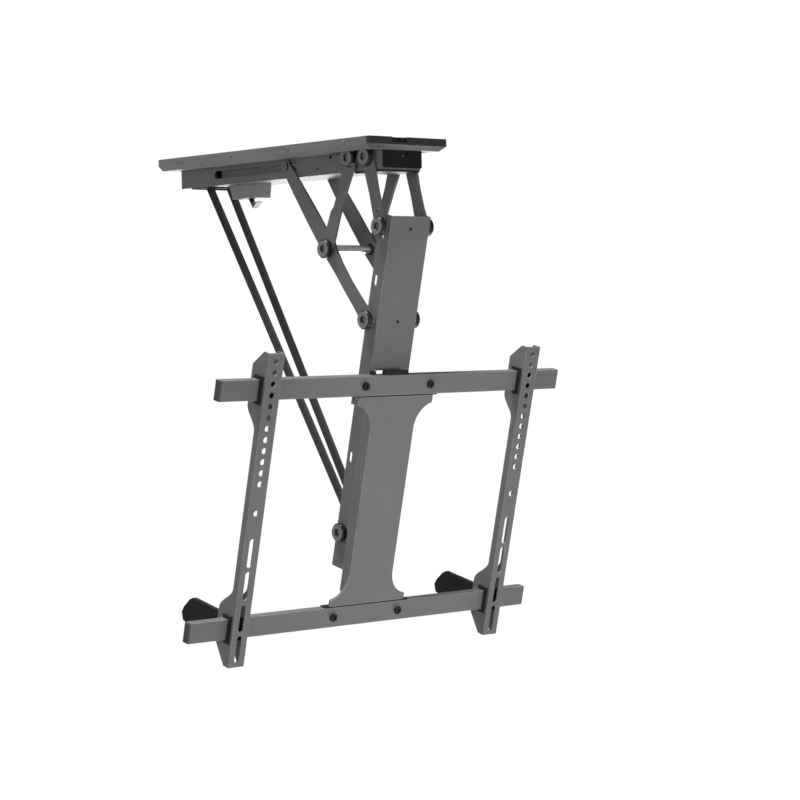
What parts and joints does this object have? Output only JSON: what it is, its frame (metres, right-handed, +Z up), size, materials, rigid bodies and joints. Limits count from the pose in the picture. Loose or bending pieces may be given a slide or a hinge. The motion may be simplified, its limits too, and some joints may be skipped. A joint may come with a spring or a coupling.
{
  "type": "tv ceiling mount",
  "caption": "Motorised flip-down ceiling mount: a long ceiling unit with a folding linkage, a hanging column and a rail frame with slotted brackets for a television.",
  "frame": {"origin": "middle of the ceiling plate's top face, on the ceiling plane", "axes": "+Z up into the ceiling, -Y towards the viewer in front of the screen, +X to the viewer's right"},
  "size_m": [0.656, 0.5199, 0.7589],
  "materials": {
    "steel": "satin",
    "dark_steel": "satin",
    "black_steel": "satin",
    "black_plastic": "matte",
    "webbing": "matte",
    "zinc": "satin",
    "chrome_rod": "polished",
    "circuit_board": "matte",
    "red_window": "gloss",
    "pale_plastic": "matte"
  },
  "bodies": {
    "ceiling_unit": {"ceiling_plate": "dark_steel", "tray_cover": "steel", "cover_front_cap": "black_plastic", "cable_bush": "black_plastic", "cover_screws": "steel", "channel": "steel", "channel_bolts": "black_steel", "control_box": "black_plastic", "control_board": "circuit_board", "infrared_window": "red_window", "power_inlet": "black_plastic", "gear_motor": "zinc", "motor_saddle": "dark_steel", "gearbox": "zinc", "drum_bushes": "black_plastic", "strap_grommet": "black_plastic", "limit_switch_box": "steel", "bump_stop": "black_plastic", "slide_guides": "pale_plastic", "slide_tracks": "steel", "ceiling_pivot_bolts": "black_steel", "ceiling_spacers": "zinc"},
    "winding_drum": {"strap_drum": "black_plastic", "drum_shaft": "zinc", "strap_rolls": "webbing"},
    "limit_lever": {"switch_lever": "zinc"},
    "short_links": {"short_link_left": "steel", "short_link_right": "steel", "cross_rod": "chrome_rod", "rod_washers": "black_plastic", "middle_pivot_bolts": "black_steel"},
    "long_links": {"long_link_left": "steel", "long_link_right": "steel"},
    "slider": {"slide_pins": "black_steel", "slide_shoes": "pale_plastic"},
    "top_links": {"top_link_left": "steel", "top_link_right": "steel", "top_link_bolts": "black_steel"},
    "column_frame": {"column": "steel", "cable_clips": "black_plastic", "carrier_plate": "steel", "upper_rail": "steel", "lower_rail": "steel", "rail_end_caps": "steel", "rail_screws": "black_steel", "rail_strips": "black_plastic", "column_pivot_bolts": "black_steel", "strap_axle": "zinc", "strap_axle_bolts": "black_steel"},
    "straps": {"strap_left": "webbing", "strap_right": "webbing"},
    "bracket_left": {"screen_bracket_left": "steel", "bracket_liners_left": "black_plastic", "latch_pins_left": "zinc"},
    "bracket_right": {"screen_bracket_right": "steel", "bracket_liners_right": "black_plastic", "latch_pins_right": "zinc"},
    "latch_left": {"rail_latch_left": "black_plastic"},
    "latch_right": {"rail_latch_right": "black_plastic"}
  },
  "joints": [
    {"name": "fold", "type": "hinge", "parent": "ceiling_unit", "child": "short_links", "pos_m": [0, -0.1812, -0.0259], "axis": [1, 0, 0], "range_deg": [0, 54]},
    {"name": "long_link_turn", "type": "hinge", "parent": "short_links", "child": "long_links", "pos_m": [0, -0.1235, -0.1571], "axis": [1, 0, 0], "range_deg": [-97, 0]},
    {"name": "column_turn", "type": "hinge", "parent": "long_links", "child": "column_frame", "pos_m": [0, -0.2065, -0.264], "axis": [1, 0, 0], "range_deg": [0, 117]},
    {"name": "slider_level", "type": "hinge", "parent": "long_links", "child": "slider", "pos_m": [0, -0.0244, -0.0286], "axis": [1, 0, 0], "range_deg": [0, 43]},
    {"name": "top_link_turn", "type": "hinge", "parent": "ceiling_unit", "child": "top_links", "pos_m": [0, -0.2142, -0.0264], "axis": [1, 0, 0], "range_deg": [-50, 0]},
    {"name": "strap_lead", "type": "hinge", "parent": "column_frame", "child": "straps", "pos_m": [0, -0.131, -0.579], "axis": [1, 0, 0], "range_deg": [-57, 0], "deforming": ["strap_left", "strap_right"]},
    {"name": "drum_turn", "type": "hinge", "parent": "ceiling_unit", "child": "winding_drum", "pos_m": [0, 0.19548, -0.02112], "axis": [1, 0, 0], "range_deg": [0, 2060]},
    {"name": "limit_lever_press", "type": "hinge", "parent": "ceiling_unit", "child": "limit_lever", "pos_m": [0, 0.119, -0.064], "axis": [1, 0, 0], "range_deg": [-12, 0], "stiffness_Nm_per_rad": 0.02, "springref_deg": 15},
    {"name": "bracket_left_slide", "type": "slide", "parent": "column_frame", "child": "bracket_left", "axis": [1, 0, 0], "range_m": [-0.045, 0.11]},
    {"name": "bracket_right_slide", "type": "slide", "parent": "column_frame", "child": "bracket_right", "axis": [1, 0, 0], "range_m": [-0.11, 0.045]},
    {"name": "latch_left_lift", "type": "hinge", "parent": "bracket_left", "child": "latch_left", "pos_m": [-0.243, -0.12349, -0.68787], "axis": [1, 0, 0], "range_deg": [0, 25]},
    {"name": "latch_right_lift", "type": "hinge", "parent": "bracket_right", "child": "latch_right", "pos_m": [0.257, -0.12349, -0.68787], "axis": [1, 0, 0], "range_deg": [0, 25]}
  ],
  "couplings": [
    {"joint": "long_link_turn", "follows": "fold", "ratio": -1.774},
    {"joint": "column_turn", "follows": "fold", "ratio": 2.137},
    {"joint": "slider_level", "follows": "fold", "ratio": 0.774},
    {"joint": "top_link_turn", "follows": "fold", "ratio": -0.91},
    {"joint": "strap_lead", "follows": "fold", "ratio": -1.023},
    {"joint": "drum_turn", "follows": "fold", "ratio": 38}
  ]
}
